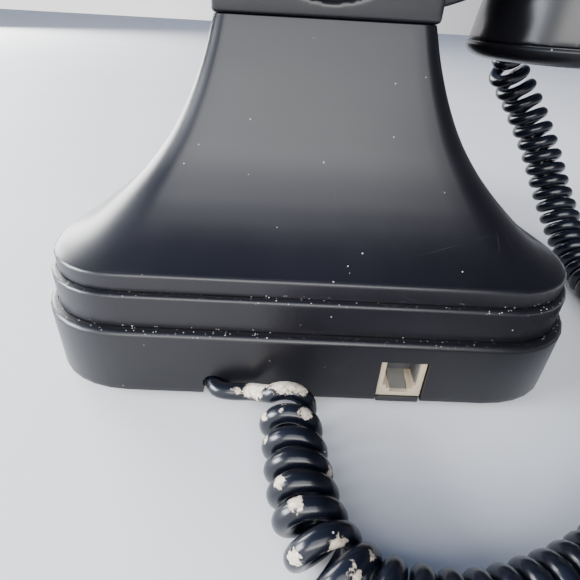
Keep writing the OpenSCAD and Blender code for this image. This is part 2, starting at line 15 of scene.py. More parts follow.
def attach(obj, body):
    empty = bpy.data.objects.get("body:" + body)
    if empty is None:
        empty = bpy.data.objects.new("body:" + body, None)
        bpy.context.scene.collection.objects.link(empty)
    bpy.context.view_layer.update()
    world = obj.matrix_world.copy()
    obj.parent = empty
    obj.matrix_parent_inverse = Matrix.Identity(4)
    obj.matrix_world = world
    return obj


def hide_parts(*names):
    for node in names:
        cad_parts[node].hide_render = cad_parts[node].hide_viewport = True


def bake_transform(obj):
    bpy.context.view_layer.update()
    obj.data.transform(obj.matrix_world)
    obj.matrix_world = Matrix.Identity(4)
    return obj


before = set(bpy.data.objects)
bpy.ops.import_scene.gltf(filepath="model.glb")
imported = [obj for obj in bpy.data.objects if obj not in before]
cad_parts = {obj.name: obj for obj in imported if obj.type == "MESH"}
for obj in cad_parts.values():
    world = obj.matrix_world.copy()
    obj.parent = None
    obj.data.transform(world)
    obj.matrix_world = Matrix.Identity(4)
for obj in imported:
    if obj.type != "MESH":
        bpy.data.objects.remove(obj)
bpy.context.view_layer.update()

MM = 0.001

# ---- driving dimensions, as in the CAD frame -------------

BASE_W, BASE_D, CORNER_R = 173.6, 180, 34.8
FOOT_H, PLATE_TOP, EDGE_Z = 1.6, 3.6, 2.5
FEET = [(46, 70), (-46, 70), (33, -70), (-33, -70)]
HOUSING_SCREWS = [(64, 66), (-64, 66), (50, -66), (-50, -66)]
WALL = 3
BACK_Y = BASE_D / 2
STEP2_Z, STEP1_Z, FLARE_Z = EDGE_Z + 21.2, EDGE_Z + 31.3, EDGE_Z + 36.5
STEP2_IN, STEP1_IN = 2.9, 4.9
NECK_W, NECK_H = 60.2, 94.3
NECK_Z = EDGE_Z + NECK_H
NECK_BACK_Y, NECK_FRONT_Y = BACK_Y - 42.3, -16
SLOPE_Y0 = -BACK_Y + STEP1_IN
SLOPE_RUN, SLOPE_RISE = NECK_FRONT_Y - SLOPE_Y0, NECK_Z - FLARE_Z

# The share of their width that the steps lose towards the front, and how fast
TAPER, TAPER_RUN = 0.22, 60

# Above the steps: height over the lower edge, half width at the back, how far the back
# stands in, corner radius, and the share of the width lost towards the front
FLARE = [
    [36.62, 81.1, 5.7, 28.9, 0.22],
    [37.3, 79.5, 7.4, 27.5, 0.2],
    [38.4, 75.5, 9.6, 25.5, 0.16],
    [40.2, 70.5, 12.6, 22.5, 0.12],
    [42.8, 65.5, 16, 19, 0.08],
    [46.5, 60.2, 19.8, 15.5, 0.05],
    [51.5, 54.2, 24, 12, 0.03],
    [58, 47.8, 28.3, 9.5, 0.02],
    [66, 41.6, 32, 7.5, 0.01],
    [75, 36.6, 35.6, 6, 0],
    [85, 32.6, 39.2, 5, 0],
    [NECK_H - 0.6, NECK_W / 2 + 0.05, 42.2, 4.5, 0],
]

# The dial's frame: its origin is the middle of the front slope, and its Z leaves the slope
DIAL_AT = Vector((0, (SLOPE_Y0 + NECK_FRONT_Y) / 2, (FLARE_Z + NECK_Z) / 2))
DIAL_TILT = math.atan2(SLOPE_RISE, SLOPE_RUN)
ON_DIAL = Matrix.Translation(DIAL_AT) @ Matrix.Rotation(DIAL_TILT, 4, "X")
POD_R, POD_TOP, POD_BORE = 44, 7, 39.5
LEDGE_R, LEDGE_TOP, LEDGE_BOTTOM = 36.5, 4, 2
DIAL_UP = 6.5
KEY_RING_R, KEY_R = 27.5, 5.4
KEYS = [("key_%d" % n, str(n)) for n in range(1, 10)]
KEYS += [("key_star", "*"), ("key_0", "0"), ("key_hash", "#")]

JACK_X, JACK_H, JACK_L = -27, 13.4, 16
JACK_FRONT = BACK_Y - 0.5
SLOT_X, SLOT_Z, SLOT_R = 27, 6.4, 3.2
# The side switches' knobs and where they lie along Y
SWITCHES = {"tone_slider": -18, "ringer_slider": 18}

SADDLE_Y, SADDLE_Z, SADDLE_R = 12, 128, 14
ARM_BACK_Y, ARM_FRONT_Y = 34, -9.5
RECESS_X, RECESS_R, RECESS_DEEP = -1, 26, 5
PLUNGER_X, PLUNGER_R = 22, 2.5
PLUNGER_TOP, PLUNGER_LOW = SADDLE_Z - 11.8, NECK_Z - 10.8

CUP_X, EAR_X = 82, 84.8
MOUTH_Z, MOUTH_RIM_Z, EAR_Z, EAR_RIM_Z = 87.8, 92.6, 101, 107
BOOT_FROM, BOOT_TO = Vector((-80, -15, 100.4)), Vector((-80, -26, 92))

WIRE_D, CURL_D = 4.9, 16
STEPS_PER_TURN, FIRST_ANGLE = 24, -48
# The gap between the first curls, and the run over which it lasts and then fades
FIRST_GAP, FIRST_GAP_RUN = 2.6, 9
# The gap between the curls that hang from the handset. It opens over a rise off the table.
HANGING_GAP, HANGING_FROM, HANGING_RISE = 1.2, 14, 40
# The run over which the last curls narrow to the straight wire
CLOSING_RUN = 7
# The wire from the slot along the back to the first curl
LEAD = [[27.4, 84, 6.4], [27.2, 88, 6.4], [25.6, 92, 6.8], [21.6, 93.6, 7.4], [15.6, 94.2, 8.1]]
# The middle of the curls: out over the table, round the mouthpiece's side and up
CURLS = [
    [6, 97.6, 8.1], [4.4, 108, 8.1], [3.2, 117, 8.1], [1.6, 126, 8.1], [-1.4, 135, 8.1],
    [-8, 142.6, 8.1], [-18, 146.2, 8.1], [-30, 147, 8.1], [-43, 144, 8.1], [-58, 138, 8.1],
    [-74, 128, 8.1], [-90, 114, 8.1], [-104, 96, 8.1], [-113, 77, 8.1], [-118.6, 57, 8.1],
    [-121.4, 38, 8.1], [-122, 20, 9], [-121, 6, 14], [-118.4, -6, 23], [-114, -16, 35],
    [-108.4, -23, 48], [-101.6, -28, 60], [-94, -31, 71], [-86.4, -31.6, 80], [-81, -30.4, 88],
]
# The wire from the last curl into the boot
TAIL = [[-80.2, -28.4, 89.8], [-80, -26.4, 91.7], [-80, -24, 93.5]]


# ---- camera ----------------------------------------------

CAMERA_AT = Vector((8.7, 181.05, 98.06))
# Yaw, pitch and roll in degrees
CAMERA_TURN = (-1.37, 32.64, 3.3)
LENS, SENSOR_WIDTH = 27, 36


def make_camera():
    """A camera behind the phone, which looks towards -Y and down."""
    yaw, pitch, roll = (math.radians(a) for a in CAMERA_TURN)
    ahead = math.cos(pitch)
    forward = Vector((math.sin(yaw) * ahead, -math.cos(yaw) * ahead, -math.sin(pitch)))
    level = forward.cross(Vector((0, 0, 1))).normalized()
    above = level.cross(forward)
    right = level * math.cos(roll) + above * math.sin(roll)
    up = above * math.cos(roll) - level * math.sin(roll)
    camera = bpy.data.objects.new("camera", bpy.data.cameras.new("camera"))
    camera.data.lens = LENS
    camera.data.sensor_width = SENSOR_WIDTH
    camera.data.clip_start = 0.01
    turn = Matrix((right, up, -forward)).transposed().to_4x4()
    camera.matrix_world = Matrix.Translation(CAMERA_AT * MM) @ turn
    bpy.context.scene.collection.objects.link(camera)
    bpy.context.scene.camera = camera


make_camera()


# ---- mesh helpers ----------------------------------------

def shade(mesh, sharp_deg=None):
    """Smooth shading, with edges sharper than sharp_deg kept crisp."""
    bm = bmesh.new()
    bm.from_mesh(mesh)
    for face in bm.faces:
        face.smooth = True
    if sharp_deg is not None:
        for edge in bm.edges:
            edge.smooth = len(edge.link_faces) == 2 and edge.calc_face_angle(0) < math.radians(sharp_deg)
    bm.to_mesh(mesh)
    bm.free()


def to_object(name, bm, matrix=None, sharp_deg=None):
    """An object from a bmesh in millimetres."""
    if matrix is not None:
        bm.transform(matrix)
    bm.transform(Matrix.Scale(MM, 4))
    bmesh.ops.recalc_face_normals(bm, faces=bm.faces)
    mesh = bpy.data.meshes.new(name)
    bm.to_mesh(mesh)
    bm.free()
    shade(mesh, sharp_deg)
    thing = bpy.data.objects.new(name, mesh)
    bpy.context.scene.collection.objects.link(thing)
    return thing


def skin(bm, rings):
    """Faces between rings of equal length, with a cap on the first and the last."""
    made = [[bm.verts.new(p) for p in ring] for ring in rings]
    count = len(made[0])
    for a, b in zip(made, made[1:]):
        for i in range(count):
            bm.faces.new((a[i], a[(i + 1) % count], b[(i + 1) % count], b[i]))
    bm.faces.new(made[0][::-1])
    bm.faces.new(made[-1])


def lathe(bm, outline, segments=96, centre=(0, 0)):
    """Turns an outline of (radius, height) about the Z axis, or about a parallel one at centre.

    An outline that begins and ends off the axis is a ring, whose last point meets its first.
    """
    on_axis = [outline[0][0] == 0, outline[-1][0] == 0]
    columns = outline[on_axis[0]:len(outline) - on_axis[1]]
    turn = [2 * math.pi * k / segments for k in range(segments)]
    x, y = centre
    rings = [[bm.verts.new((x + r * math.cos(a), y + r * math.sin(a), z)) for a in turn]
             for r, z in columns]
    pairs = list(zip(rings, rings[1:]))
    if not any(on_axis):
        pairs.append((rings[-1], rings[0]))
    for low, high in pairs:
        for i in range(segments):
            bm.faces.new((low[i], low[(i + 1) % segments], high[(i + 1) % segments], high[i]))
    for end, wanted in zip((0, -1), on_axis):
        if wanted:
            ring, middle = rings[end], bm.verts.new((x, y, outline[end][1]))
            for i in range(segments):
                bm.faces.new((middle, ring[i], ring[(i + 1) % segments]))


def bend(x, y, r, start, stop, count=6):
    """Points of an arc about (x, y), in degrees."""
    angles = [math.radians(start + (stop - start) * i / count) for i in range(count + 1)]
    return [(x + r * math.cos(a), y + r * math.sin(a)) for a in angles]


def rounded(points, r, count=4):
    """An outline whose inner points are replaced by short curves that begin r away from them."""
    out = [points[0]]
    for a, b, c in zip(points, points[1:], points[2:]):
        a, b, c = Vector(a), Vector(b), Vector(c)
        near = min(r, (a - b).length * 0.45, (c - b).length * 0.45)
        p, q = b + (a - b).normalized() * near, b + (c - b).normalized() * near
        for i in range(count + 1):
            t = i / count
            out.append(tuple(p * (1 - t) ** 2 + b * 2 * t * (1 - t) + q * t ** 2))
    return out + [points[-1]]


def smooth_line(points, steps):
    """A Catmull-Rom curve through points of any size, with steps points between two of them."""
    p = np.array(points, float)
    p = np.vstack([2 * p[0] - p[1], p, 2 * p[-1] - p[-2]])
    out = []
    for i in range(1, len(p) - 2):
        a, b, c, d = p[i - 1:i + 3]
        for k in range(steps):
            t = k / steps
            out.append(0.5 * (2 * b + (c - a) * t + (2 * a - 5 * b + 4 * c - d) * t ** 2
                              + (3 * b - a - 3 * c + d) * t ** 3))
    return np.array(out + [p[-2]])


def evenly(line, count):
    """count points at equal distances along a line."""
    along = np.concatenate([[0], np.cumsum(np.linalg.norm(np.diff(line, axis=0), axis=1))])
    at = np.linspace(0, along[-1], count)
    return np.stack([np.interp(at, along, line[:, k]) for k in range(line.shape[1])], axis=1)


def frames_along(line, side):
    """Unit directions along a line and two sideways ones, carried along it without twist."""
    way = np.gradient(line, axis=0)
    way /= np.linalg.norm(way, axis=1)[:, None]
    first, sides = np.array(side, float), []
    for t in way:
        first = first - t * (first @ t)
        first = first / np.linalg.norm(first)
        sides.append(first)
    sides = np.array(sides)
    return way, sides, np.cross(way, sides)


def tube(bm, line, radii, sides, side):
    """A round tube of changing radius along a line. The first point of each ring lies on the side given."""
    _, one, two = frames_along(line, side)
    turn = [2 * math.pi * k / sides for k in range(sides)]
    skin(bm, [[p + r * (math.cos(a) * u + math.sin(a) * v) for a in turn]
              for p, r, u, v in zip(line, radii, one, two)])


def slab(bm, outline, low, high, matrix=Matrix()):
    """A closed outline in XY raised from low to high, then moved by matrix."""
    skin(bm, [[matrix @ Vector((x, y, z)) for x, y in outline] for z in (low, high)])


def brick(bm, low, high, edge):
    """A box between two corners, with its edges rounded by edge."""
    made = bmesh.ops.create_cube(bm, size=1)["verts"]
    low, high = Vector(low), Vector(high)
    for v in made:
        v.co = Vector(((low[i] + high[i]) / 2 + v.co[i] * (high[i] - low[i]) for i in range(3)))
    if edge:
        edges = list({e for v in made for e in v.link_edges})
        bmesh.ops.bevel(bm, geom=edges, offset=edge, segments=3, profile=0.5, affect="EDGES")


def combine(thing, other, operation):
    """Joins or cuts two closed meshes and drops the second."""
    cut = thing.modifiers.new("cut", "BOOLEAN")
    cut.object, cut.operation, cut.solver = other, operation, "EXACT"
    apply_all(thing)
    bpy.data.objects.remove(other)


def apply_all(thing):
    """The mesh as its modifiers leave it."""
    graph = bpy.context.evaluated_depsgraph_get()
    mesh = bpy.data.meshes.new_from_object(thing.evaluated_get(graph))
    thing.modifiers.clear()
    thing.data = mesh


def melt(thing, voxel, rounds, keep=1):
    """Rebuilds a mesh as one even skin, softens its edges and thins it to a share of its faces."""
    remesh = thing.modifiers.new("remesh", "REMESH")
    remesh.mode, remesh.voxel_size = "VOXEL", voxel * MM
    soften = thing.modifiers.new("soften", "SMOOTH")
    soften.factor, soften.iterations = 0.5, rounds
    if keep < 1:
        thin = thing.modifiers.new("thin", "DECIMATE")
        thin.ratio = keep
    apply_all(thing)
    shade(thing.data)


# ---- materials -------------------------------------------

class Finish:
    """A material under construction: its node tree, with short ways to add and join nodes."""

    def __init__(self, name, **values):
        self.material = bpy.data.materials.new(name)
        self.material.use_nodes = True
        self.tree = self.material.node_tree
        self.shader = self.tree.nodes["Principled BSDF"]
        self.place = self.add("ShaderNodeTexCoord").outputs["Object"]
        self.set(**values)

    def set(self, **values):
        for key, value in values.items():
            self.put(self.shader.inputs[key.replace("_", " ")], value)

    def put(self, socket, value):
        if isinstance(value, bpy.types.NodeSocket):
            self.tree.links.new(value, socket)
        elif isinstance(value, (tuple, list)) and len(value) == 3 and len(socket.default_value) == 4:
            socket.default_value = (*value, 1)
        else:
            socket.default_value = value

    def add(self, kind, inputs=(), **settings):
        node = self.tree.nodes.new(kind)
        for key, value in settings.items():
            setattr(node, key, value)
        for key, value in dict(inputs).items():
            self.put(node.inputs[key], value)
        return node

    def math(self, operation, a, b=0.0):
        return self.add("ShaderNodeMath", {0: a, 1: b}, operation=operation).outputs[0]

    def noise(self, per_metre, detail=3, stretch=(1, 1, 1), rough=0.5):
        scaled = self.add("ShaderNodeMapping", {"Vector": self.place, "Scale": stretch}).outputs[0]
        inputs = {"Vector": scaled, "Scale": per_metre, "Detail": detail, "Roughness": rough}
        return self.add("ShaderNodeTexNoise", inputs).outputs["Fac"]

    def cells(self, per_metre, feature="F1", warp=0.0):
        at = self.place
        if warp:
            shift = self.add("ShaderNodeTexNoise", {"Vector": self.place, "Scale": per_metre * 0.6})
            scaled = self.add("ShaderNodeVectorMath", {0: shift.outputs["Color"], "Scale": warp},
                              operation="SCALE")
            at = self.add("ShaderNodeVectorMath", {0: self.place, 1: scaled.outputs[0]}).outputs[0]
        return self.add("ShaderNodeTexVoronoi", {"Vector": at, "Scale": per_metre}, feature=feature)

    def channel(self, colour, which):
        """One of a colour's channels, which serves as a random number for each cell."""
        return self.add("ShaderNodeSeparateColor", {0: colour}).outputs[which]

    def span(self, value, low, high, to_low=0.0, to_high=1.0):
        inputs = {"Value": value, "From Min": low, "From Max": high, "To Min": to_low, "To Max": to_high}
        return self.add("ShaderNodeMapRange", inputs).outputs[0]

    def mix(self, share, a, b):
        node = self.add("ShaderNodeMix", data_type="RGBA")
        for socket, value in ((node.inputs[0], share), (node.inputs[6], a), (node.inputs[7], b)):
            self.put(socket, value)
        return node.outputs[2]

    def bump(self, height, depth):
        node = self.add("ShaderNodeBump", {"Height": height, "Distance": depth * MM, "Strength": 1.0})
        self.set(Normal=node.outputs[0])


def dust_on(f, amount):
    """Where small pale specks and hairline scratches lie, as two values from 0 to 1."""
    cell = f.cells(260)
    chosen = f.span(f.channel(cell.outputs["Color"], 0), 0.6, 0.61)
    size = f.span(f.channel(cell.outputs["Color"], 1), 0, 1, 0.02, 0.075)
    speck = f.math("MULTIPLY", f.math("LESS_THAN", cell.outputs["Distance"], size), chosen)
    patch = f.span(f.noise(26, 2), 0.4, 0.52)
    speck = f.math("MULTIPLY", f.math("MULTIPLY", speck, patch), amount)
    crack = f.cells(42, "DISTANCE_TO_EDGE", 0.006)
    line = f.span(crack.outputs["Distance"], 0.0, 0.0035, 1, 0)
    here = f.span(f.noise(60, 1, (1, 0.35, 1)), 0.62, 0.7)
    return speck, f.math("MULTIPLY", f.math("MULTIPLY", line, here), amount)


def groove_dust(f):
    """Specks caught along the two grooves between the steps, from 0 to 1."""
    height = f.add("ShaderNodeSeparateXYZ", {0: f.place}).outputs["Z"]
    near = 0.0
    for level in (STEP2_Z, STEP1_Z):
        gap = f.math("ABSOLUTE", f.math("SUBTRACT", height, level * MM))
        near = f.math("MAXIMUM", near, f.span(gap, 0.2 * MM, 1.1 * MM, 1, 0))
    cell = f.cells(1500)
    dot = f.math("LESS_THAN", cell.outputs["Distance"], 0.3)
    chosen = f.span(f.channel(cell.outputs["Color"], 0), 0.8, 0.82)
    patch = f.span(f.noise(70, 3), 0.47, 0.6, 0.1, 1)
    return f.math("MULTIPLY", f.math("MULTIPLY", dot, chosen), f.math("MULTIPLY", near, patch))


def satin_black(name, colour, tint, rough, amount=1.0, grain=0.012, grooved=False):
    """Moulded black plastic: slightly uneven gloss, fine grain, dust specks and hairline scratches."""
    f = Finish(name, Specular_IOR_Level=0.5)
    speck, scratch = dust_on(f, amount)
    if grooved:
        speck = f.math("MAXIMUM", speck, groove_dust(f))
    base = f.mix(f.span(f.noise(18, 4), 0.35, 0.7), colour, tint)
    base = f.mix(f.math("MULTIPLY", scratch, 0.12), base, (0.2, 0.2, 0.22))
    base = f.mix(f.math("MULTIPLY", speck, 0.75), base, (0.62, 0.6, 0.56))
    gloss = f.span(f.noise(35, 5), 0.25, 0.8, rough - 0.035, rough + 0.05)
    gloss = f.math("ADD", gloss, f.math("MULTIPLY", speck, 0.4))
    f.set(Base_Color=base, Roughness=gloss)
    fine = f.math("ADD", f.math("MULTIPLY", f.noise(2600, 2), 0.6), f.math("MULTIPLY", f.noise(420, 3), 0.5))
    fine = f.math("SUBTRACT", fine, f.math("MULTIPLY", scratch, 0.5))
    f.bump(fine, grain)
    return f.material


def plain_plastic(name, colour, shade_colour, rough, grain=0.02):
    """Coloured plastic with slight mottling, worn gloss and a fine grain."""
    f = Finish(name)
    f.set(Base_Color=f.mix(f.span(f.noise(60, 5), 0.35, 0.7), colour, shade_colour),
          Roughness=f.span(f.noise(180, 4), 0.3, 0.75, rough - 0.06, rough + 0.08))
    f.bump(f.math("ADD", f.noise(3200, 2), f.noise(500, 2)), grain)
    return f.material


def rubber_finish():
    """Black rubber, greyed by dust in places."""
    f = Finish("rubber", Specular_IOR_Level=0.35)
    dusty = f.span(f.noise(90, 6), 0.4, 0.75)
    f.set(Base_Color=f.mix(dusty, (0.012, 0.012, 0.012), (0.04, 0.038, 0.036)),
          Roughness=f.span(dusty, 0, 1, 0.62, 0.8))
    f.bump(f.noise(1800, 4), 0.05)
    return f.material


def metal(name, colour, rough, stretch=(1, 1, 1), per_metre=900):
    """Metal with fine drawn lines or polish marks."""
    f = Finish(name, Metallic=1.0)
    lines = f.noise(per_metre, 4, stretch)
    f.set(Base_Color=f.mix(f.span(f.noise(70, 4), 0.4, 0.7), colour, [c * 0.86 for c in colour]),
          Roughness=f.span(lines, 0.3, 0.7, rough * 0.75, rough * 1.35))
    f.bump(lines, 0.004)
    return f.material


def cord_finish():
    """Glossy dark wire whose skin has peeled to a pale layer. The mesh's peel value says where."""
    f = Finish("cord_vinyl", Specular_IOR_Level=0.42)
    peel = f.add("ShaderNodeAttribute", attribute_name="peel").outputs["Fac"]
    ragged = f.math("ADD", f.math("MULTIPLY", f.math("SUBTRACT", f.noise(620, 6, rough=0.75), 0.5), 4.6),
                    f.math("MULTIPLY", f.math("SUBTRACT", f.noise(190, 2), 0.5), 2.4))
    bare = f.span(f.math("ADD", peel, ragged), -0.05, 0.1)
    fleck = f.cells(330)
    chosen = f.span(f.channel(fleck.outputs["Color"], 0), 0.93, 0.94)
    dots = f.math("MULTIPLY", f.math("LESS_THAN", fleck.outputs["Distance"], 0.12), chosen)
    dots = f.math("MULTIPLY", dots, f.span(peel, -6.0, -2.0))
    skin_colour = f.mix(f.span(f.noise(45, 4), 0.35, 0.7), (0.0025, 0.003, 0.006), (0.006, 0.0075, 0.014))
    layer = f.mix(f.span(f.noise(900, 6, rough=0.75), 0.36, 0.62), (0.34, 0.25, 0.18), (0.82, 0.74, 0.6))
    colour = f.mix(dots, f.mix(bare, skin_colour, layer), (0.6, 0.58, 0.55))
    f.set(Base_Color=colour, Roughness=f.mix(bare, (0.24, 0.24, 0.24), (0.8, 0.8, 0.8)),
          Coat_Weight=f.span(bare, 0, 1, 0.12, 0.0), Coat_Roughness=0.2)
    height = f.math("SUBTRACT", f.math("MULTIPLY", f.noise(900, 4), 0.16), f.math("MULTIPLY", bare, 1.0))
    f.bump(height, 0.09)
    return f.material


def board_finish():
    """Green circuit board with raised tracks."""
    f = Finish("board", Specular_IOR_Level=0.5)
    tracks = f.cells(260, "DISTANCE_TO_EDGE", 0.002).outputs["Distance"]
    f.set(Base_Color=f.mix(f.span(tracks, 0.03, 0.06), (0.06, 0.24, 0.12), (0.02, 0.12, 0.06)), Roughness=0.4)
    f.bump(f.span(tracks, 0.03, 0.06), 0.03)
    return f.material


def card_finish():
    """Cream paper card with fibres."""
    f = Finish("card")
    fibre = f.noise(900, 6, (1, 3, 1))
    f.set(Base_Color=f.mix(f.span(fibre, 0.35, 0.7), (0.7, 0.66, 0.54), (0.8, 0.77, 0.67)), Roughness=0.85)
    f.bump(fibre, 0.02)
    return f.material


def lens_finish():
    """Clear plastic, a little rubbed."""
    f = Finish("lens", Base_Color=(0.97, 0.98, 1.0), Transmission_Weight=0.95, IOR=1.47)
    f.set(Roughness=f.span(f.noise(140, 5), 0.4, 0.8, 0.03, 0.16))
    f.bump(f.noise(300, 3), 0.01)
    return f.material


def floor_finish():
    """Plain pale matt floor."""
    f = Finish("floor", Specular_IOR_Level=0.25)
    f.set(Base_Color=f.mix(f.span(f.noise(9, 5), 0.3, 0.7), (0.82, 0.82, 0.83), (0.86, 0.86, 0.86)),
          Roughness=0.7)
    return f.material


BLACK = satin_black("satin_black", (0.0035, 0.0035, 0.0045), (0.008, 0.0072, 0.0105), 0.32, grooved=True)
HANDSET_BLACK = satin_black("handset_black", (0.0035, 0.0035, 0.0045), (0.007, 0.0065, 0.009), 0.3, 0.7)
BASE_BLACK = satin_black("base_black", (0.014, 0.014, 0.016), (0.024, 0.023, 0.026), 0.55, 0.8, 0.03)
DIAL_BLACK = satin_black("dial_black", (0.006, 0.006, 0.007), (0.012, 0.012, 0.013), 0.18, 0.5, 0.004)
RUBBER = rubber_finish()
CORD = cord_finish()
IVORY = plain_plastic("jack_ivory", (0.56, 0.46, 0.33), (0.47, 0.38, 0.27), 0.42)
# Dark grey for the lining inside the line port: painted shade of the port's depth, darker than the ivory
# body.
PORT_SHADE_GREY = plain_plastic("port_shade_grey", (0.15, 0.145, 0.13), (0.09, 0.088, 0.08), 0.5)
KEY_IVORY = plain_plastic("key_ivory", (0.70, 0.67, 0.58), (0.62, 0.59, 0.50), 0.3, 0.008)
INK = plain_plastic("ink", (0.02, 0.02, 0.022), (0.035, 0.035, 0.04), 0.5, 0.005)
GREY = plain_plastic("grey_plastic", (0.05, 0.05, 0.055), (0.075, 0.075, 0.08), 0.5)
SLIDER_GREY = plain_plastic("slider_grey", (0.30, 0.30, 0.31), (0.38, 0.38, 0.39), 0.45)
CHROME = metal("chrome", (0.86, 0.87, 0.89), 0.09, per_metre=300)
STEEL = metal("steel", (0.55, 0.55, 0.56), 0.34, (1, 12, 1))
GOLD = metal("gold", (0.83, 0.62, 0.26), 0.22, (1, 8, 1))
BOARD, CARD, LENS, FLOOR = board_finish(), card_finish(), lens_finish(), floor_finish()


def dress(thing, material, slot, body, *nodes):
    """Gives a piece its finish and says which body it rides on and which CAD nodes it stands for."""
    thing.data.materials.clear()
    thing.data.materials.append(material)
    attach(thing, body)
    if nodes:
        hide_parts(*nodes)
    return thing


# ---- cord ------------------------------------------------

# Where the wire's skin has peeled near the slot: the middle of each patch and how far it reaches
PEELED = [
    ((15.8, 95.4, 10.4), 2.4), ((13.2, 95.6, 11.2), 3.3), ((10.2, 95.8, 12.4), 3.5),
    ((7.4, 97.4, 14.6), 3.2), ((4.8, 98, 15.6), 3.0), ((2.2, 98.8, 15.2), 2.0),
    ((19.5, 95.2, 9.5), 0.9), ((22.6, 94.6, 8.2), 0.8), ((11.8, 105.8, 11.8), 1.5),
    ((6.2, 105.4, 15.4), 0.8), ((7.6, 106.6, 15), 0.6), ((1.2, 107.4, 15.2), 1.9),
    ((11.2, 112.6, 11.4), 1.4), ((-3.4, 112.6, 12.6), 0.9), ((-4.6, 121.2, 11.4), 1.4),
    ((7.2, 124.8, 13.6), 1.8), ((3.8, 130.6, 15.2), 1.8), ((-4.2, 138, 14), 1.7),
    ((4, 139.4, 11.6), 1.4), ((-6.6, 142.6, 14), 2.0), ((-9.4, 139.8, 14), 1.5),
]


def curl_line():
    """The wire's middle line: the lead, the curls and the tail."""
    axis = evenly(smooth_line(CURLS, 24), 1600)
    way, up, side = frames_along(axis, (0, 0, 1))
    step = np.linalg.norm(axis[1] - axis[0])
    total = step * (len(axis) - 1)
    curl_r = (CURL_D - WIRE_D) / 2
    turning = np.linalg.norm(np.gradient(way, axis=0), axis=1) / step
    turning = np.convolve(np.pad(turning, 20, mode="edge"), np.ones(41) / 41, mode="valid")
    angle, s, coil = math.radians(FIRST_ANGLE), 0.0, []
    while s < total:
        k, t = int(s / step), s / step % 1
        here = axis[k] * (1 - t) + axis[k + 1] * t
        u = up[k] * (1 - t) + up[k + 1] * t
        v = -(side[k] * (1 - t) + side[k + 1] * t)
        ease = min(1, (total - s) / CLOSING_RUN) ** 0.8
        coil.append(here + curl_r * ease * (math.cos(angle) * u + math.sin(angle) * v))
        pitch = WIRE_D * 1.02 / (1 - curl_r * turning[k])
        pitch += FIRST_GAP * math.exp(-max(s - FIRST_GAP_RUN, 0) / FIRST_GAP_RUN)
        pitch += HANGING_GAP * min(max((here[2] - HANGING_FROM) / HANGING_RISE, 0), 1)
        angle += 2 * math.pi / STEPS_PER_TURN
        s += pitch / STEPS_PER_TURN
    coil = np.array(coil)
    lead = evenly(smooth_line(LEAD + [list(coil[0]), list(coil[2])], 12)[:-12], 26)
    tail = evenly(smooth_line([list(coil[-4]), list(coil[-1])] + TAIL, 8)[8:], 8)
    return np.vstack([lead[:-1], coil, tail[1:]])


def make_cord():
    """One wire from the base's slot to the handset's boot."""
    line = curl_line()
    bm = bmesh.new()
    tube(bm, line, [WIRE_D / 2] * len(line), 20, (0, 0, 1))
    cord = to_object("cord", bm)
    spots = np.array([p for p, _ in PEELED])
    sizes = np.array([r for _, r in PEELED])
    points = np.array([v.co for v in cord.data.vertices]) / MM
    away = np.linalg.norm(points[:, None] - spots[None], axis=2)
    peel = (sizes - away).max(axis=1)
    value = cord.data.attributes.new("peel", "FLOAT", "POINT")
    value.data.foreach_set("value", peel.astype(np.float32))
    cord.data.materials.append(CORD)
    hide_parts("cord_lead", "cord_coil", "cord_tail")
    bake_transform(cord)


make_cord()


# ---- housing ---------------------------------------------

def kept(y, back, lost):
    """Share of its width that an outline keeps at y, where its back is at back."""
    return 1 - lost * (1 - math.exp((y - back) / TAPER_RUN))


def side_x(y):
    """The bottom step's side, at y."""
    return BASE_W / 2 * kept(y, BACK_Y, TAPER)


def between(start, stop, count):
    """Points between two, without the two."""
    return [tuple(Vector(start).lerp(Vector(stop), k / (count + 1))) for k in range(1, count + 1)]


def section(z, half, back, front, r, lost):
    """One level of the base: a rounded rectangle that narrows towards the front."""
    a, b, c = half - r, back - r, front + r
    flat = bend(a, b, r, 0, 90, 10) + between((a, back), (-a, back), 14)
    flat += bend(-a, b, r, 90, 180, 10) + between((-half, b), (-half, c), 14)
    flat += bend(-a, c, r, 180, 270, 10) + between((-a, front), (a, front), 14)
    flat += bend(a, c, r, 270, 360, 10) + between((half, c), (half, b), 14)
    return [Vector((x * kept(y, back, lost), y, z)) for x, y in flat]


def step_section(inset, z):
    """The steps' outline at z, set in by inset all round."""
    return section(z, BASE_W / 2 - inset, BACK_Y - inset, inset - BACK_Y, CORNER_R - inset, TAPER)


def flare_section(row, thin=0.0):
    """The outline above the steps for a row of FLARE, set in by thin all round."""
    height, half, inset, r, lost = row
    z = EDGE_Z + height
    front = SLOPE_Y0 + 0.5 + SLOPE_RUN * max((z - FLARE_Z) / SLOPE_RISE, 0)
    return section(z, half - thin, BACK_Y - inset - thin, front + thin, max(r - thin, 1), lost)


def step_outline():
    """(inset, height) up the outside of the steps: rounded rims, and a fine groove in each inner corner."""
    out = [(0.6, EDGE_Z), (0.15, EDGE_Z + 0.15), (0, EDGE_Z + 0.6), (0, EDGE_Z + 2), (0, STEP2_Z - 2)]
    out += bend(1.7, STEP2_Z - 1.7, 1.7, 180, 90, 8) + [(2.6, STEP2_Z), (2.7, STEP2_Z - 0.3)]
    out += [(STEP2_IN + 0.05, STEP2_Z - 0.3), (STEP2_IN, STEP2_Z + 0.2), (STEP2_IN, STEP2_Z + 1.5)]
    out += [(STEP2_IN, STEP1_Z - 1.8)] + bend(STEP2_IN + 1.2, STEP1_Z - 1.2, 1.2, 180, 90, 8)
    out += [(4.6, STEP1_Z), (4.7, STEP1_Z - 0.3), (STEP1_IN + 0.05, STEP1_Z - 0.3)]
    out += [(STEP1_IN, STEP1_Z + 0.25), (STEP1_IN, STEP1_Z + 1.2)]
    return out + bend(STEP1_IN + 1.3, FLARE_Z - 1.1, 1.3, 180, 114)


